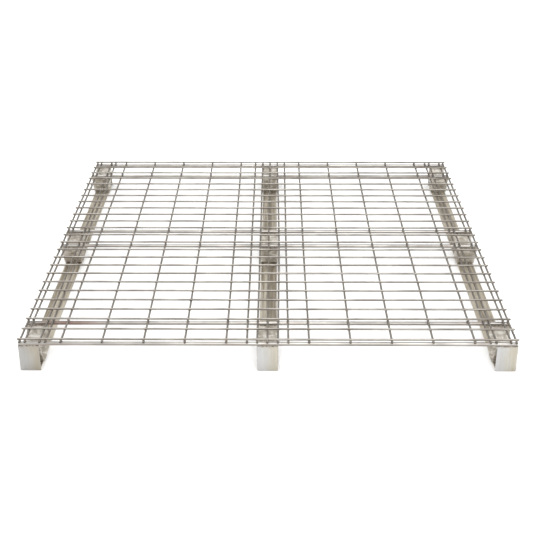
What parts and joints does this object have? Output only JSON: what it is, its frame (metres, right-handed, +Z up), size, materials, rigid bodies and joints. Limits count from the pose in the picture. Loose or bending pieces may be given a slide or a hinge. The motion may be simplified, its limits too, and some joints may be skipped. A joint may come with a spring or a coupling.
{
  "type": "wire mesh pallet",
  "caption": "Low flat pallet of welded steel wire mesh on round support bars, bent strap feet and flat runners, open to forks from every side.",
  "frame": {"origin": "on the floor under the middle of the deck", "axes": "+Z up, X along the long deck wires and the support bars, Y along the runners, -Y the front"},
  "size_m": [1.212, 1.216, 0.089],
  "materials": {
    "deck_wire_long": "satin, zinc plated drawn wire",
    "deck_wire_cross": "satin, zinc plated drawn wire, darker",
    "support_bar": "satin, zinc plated round bar",
    "runner": "matt, zinc plated strip, dulled",
    "foot": "matt, zinc plated bent strap, mottled",
    "end_plate": "satin, zinc plated sheet"
  },
  "bodies": {
    "root": {"long_wire_01": "deck_wire_long", "long_wire_02": "deck_wire_long", "long_wire_03": "deck_wire_long", "long_wire_04": "deck_wire_long", "long_wire_05": "deck_wire_long", "long_wire_06": "deck_wire_long", "long_wire_07": "deck_wire_long", "long_wire_08": "deck_wire_long", "long_wire_09": "deck_wire_long", "long_wire_10": "deck_wire_long", "long_wire_11": "deck_wire_long", "long_wire_12": "deck_wire_long", "long_wire_13": "deck_wire_long", "long_wire_14": "deck_wire_long", "long_wire_15": "deck_wire_long", "long_wire_16": "deck_wire_long", "long_wire_17": "deck_wire_long", "long_wire_18": "deck_wire_long", "long_wire_19": "deck_wire_long", "long_wire_20": "deck_wire_long", "long_wire_21": "deck_wire_long", "long_wire_22": "deck_wire_long", "long_wire_23": "deck_wire_long", "long_wire_24": "deck_wire_long", "long_wire_25": "deck_wire_long", "cross_wires_centre": "deck_wire_cross", "cross_wires_left_edge": "deck_wire_cross", "cross_wires_left_foot": "deck_wire_cross", "cross_wires_left_field": "deck_wire_cross", "cross_wires_right_edge": "deck_wire_cross", "cross_wires_right_foot": "deck_wire_cross", "cross_wires_right_field": "deck_wire_cross", "support_bar_front_front": "support_bar", "support_bar_front_rear": "support_bar", "support_bar_middle_front": "support_bar", "support_bar_middle_rear": "support_bar", "support_bar_rear_front": "support_bar", "support_bar_rear_rear": "support_bar", "runner_left": "runner", "runner_centre": "runner", "runner_right": "runner", "foot_front_left": "foot", "foot_front_centre": "foot", "foot_front_right": "foot", "foot_middle_left": "foot", "foot_middle_centre": "foot", "foot_middle_right": "foot", "foot_rear_left": "foot", "foot_rear_centre": "foot", "foot_rear_right": "foot", "end_plate_front_left": "end_plate", "end_plate_front_centre": "end_plate", "end_plate_front_right": "end_plate", "end_plate_rear_left": "end_plate", "end_plate_rear_centre": "end_plate", "end_plate_rear_right": "end_plate"}
  },
  "joints": []
}
